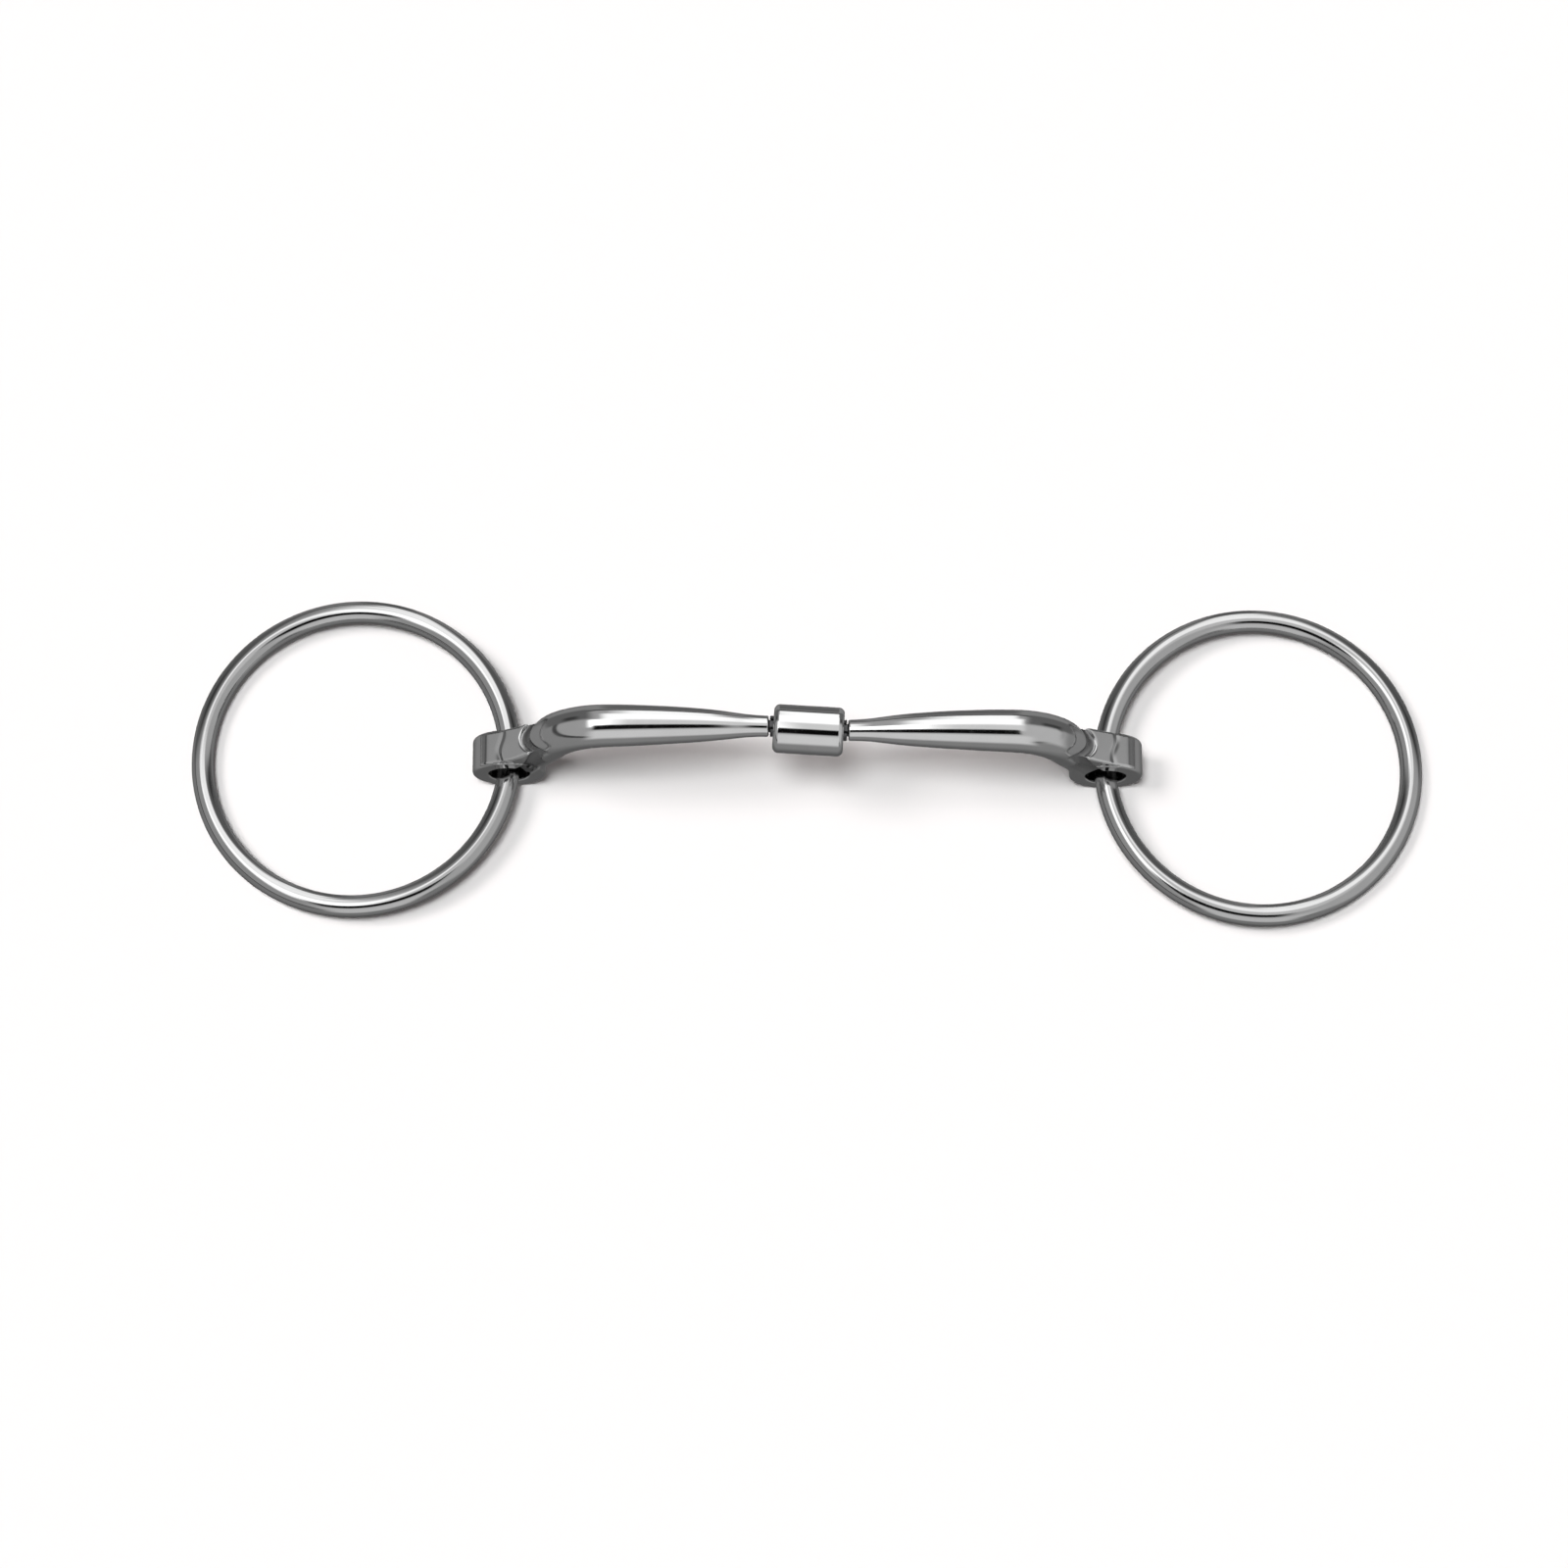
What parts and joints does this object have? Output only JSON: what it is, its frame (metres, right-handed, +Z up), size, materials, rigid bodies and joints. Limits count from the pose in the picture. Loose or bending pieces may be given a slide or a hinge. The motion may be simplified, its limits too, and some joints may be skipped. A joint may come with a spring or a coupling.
{
  "type": "snaffle bit",
  "caption": "Loose-ring snaffle bit with a curved mouthpiece whose arms swivel and fold in a central barrel.",
  "frame": {"origin": "on the table under the middle of the barrel, with the bit standing on its loops", "axes": "+X along the mouthpiece, +Y across the rings, +Z up out of the arch"},
  "size_m": [0.2734, 0.0748, 0.0338],
  "materials": {
    "ring_steel": "mirror-polished stainless steel wire",
    "mouthpiece_steel": "polished stainless steel forging",
    "barrel_steel": "mirror-polished stainless steel sleeve",
    "joint_steel": "machined stainless steel, unpolished",
    "pin_steel": "ground stainless steel pin",
    "spacer_brass": "turned brass"
  },
  "bodies": {
    "barrel": {"barrel_sleeve": "barrel_steel", "barrel_spacer": "spacer_brass"},
    "left_plug": {"left_swivel_plug": "joint_steel", "left_cross_pin": "pin_steel"},
    "left_mouthpiece": {"left_arm": "mouthpiece_steel"},
    "left_cheek": {"left_ring": "ring_steel"},
    "right_plug": {"right_swivel_plug": "joint_steel", "right_cross_pin": "pin_steel"},
    "right_mouthpiece": {"right_arm": "mouthpiece_steel"},
    "right_cheek": {"right_ring": "ring_steel"}
  },
  "joints": [
    {"name": "left_swivel", "type": "hinge", "parent": "barrel", "child": "left_plug", "pos_m": [-0.0042, 0.00045, 0.0284], "axis": [1, 0, 0], "continuous": true},
    {"name": "left_fold", "type": "hinge", "parent": "left_plug", "child": "left_mouthpiece", "pos_m": [-0.0042, 0.00045, 0.0284], "axis": [0, -1, 0], "range_deg": [0, 12]},
    {"name": "left_ring_swing", "type": "hinge", "parent": "left_mouthpiece", "child": "left_cheek", "pos_m": [-0.06595, 0.00045, 0.0065], "axis": [0, 1, 0], "range_deg": [-135, 145]},
    {"name": "right_swivel", "type": "hinge", "parent": "barrel", "child": "right_plug", "pos_m": [0.0042, -0.00045, 0.0284], "axis": [1, 0, 0], "continuous": true},
    {"name": "right_fold", "type": "hinge", "parent": "right_plug", "child": "right_mouthpiece", "pos_m": [0.0042, -0.00045, 0.0284], "axis": [0, 1, 0], "range_deg": [0, 12]},
    {"name": "right_ring_swing", "type": "hinge", "parent": "right_mouthpiece", "child": "right_cheek", "pos_m": [0.06595, -0.00045, 0.0065], "axis": [-0.0174, -0.9998, 0], "range_deg": [-135, 145]}
  ]
}
